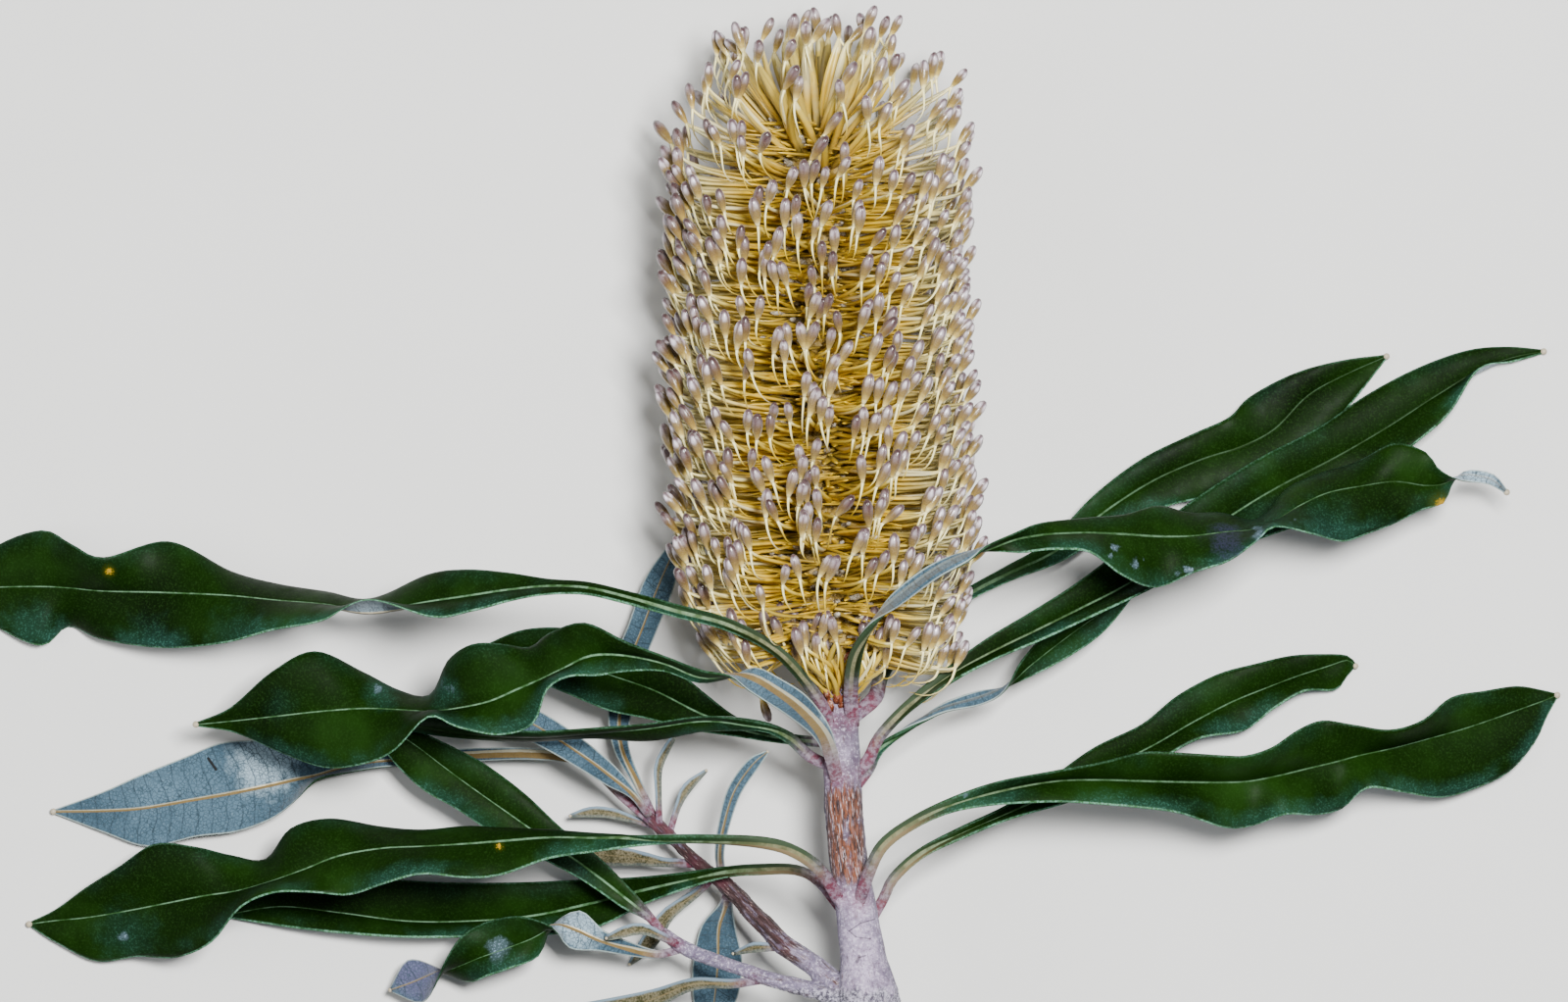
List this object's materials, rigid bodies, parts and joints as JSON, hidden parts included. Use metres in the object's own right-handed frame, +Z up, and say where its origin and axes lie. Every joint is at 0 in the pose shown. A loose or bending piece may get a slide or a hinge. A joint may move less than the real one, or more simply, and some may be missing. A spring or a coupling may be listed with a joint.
{
  "type": "banksia flower stem",
  "caption": "Cut banksia stem lying down: a cylindrical spike of hooked yellow florets on a woody stem with side shoots and wavy leathery leaves.",
  "frame": {"origin": "the small flat spot under the lowest floret bud, where the spike rests on the surface", "axes": "+Y along the spike from the cut stem towards its top, +X to the right as the camera looks down, +Z up from the surface"},
  "size_m": [0.3317, 0.2192, 0.0645],
  "materials": {
    "bark": "matte, felted and fissured bark",
    "floret": "soft golden florets with pale lilac-brown buds",
    "leaf": "glossy dark green above, pale and matte beneath"
  },
  "bodies": {
    "root": {"woody_stem": "bark", "flower_spike": "floret", "leaf_upper_left": "leaf", "leaf_curled_left": "leaf", "leaf_edge_on_left": "leaf", "leaf_behind_left": "leaf", "leaf_lower_left": "leaf", "leaf_under_left": "leaf", "leaf_upper_right": "leaf", "leaf_back_right": "leaf", "leaf_long_right": "leaf", "leaf_short_right": "leaf", "leaf_lower_right": "leaf", "leaf_under_right": "leaf", "leaf_pale_underside": "leaf", "leaf_shoot_wide": "leaf", "leaf_shoot_upright": "leaf", "leaf_shoot_narrow": "leaf", "leaf_shoot_spur": "leaf", "leaf_shoot_side": "leaf", "leaf_shoot_middle": "leaf", "leaf_shoot_tall": "leaf", "leaf_shoot_drooping": "leaf", "leaf_shoot_hanging": "leaf", "leaf_shoot_basal": "leaf", "leaf_diagonal": "leaf", "leaf_twisted_low": "leaf", "leaf_recurved": "leaf", "leaf_low_trailing": "leaf"}
  },
  "joints": []
}
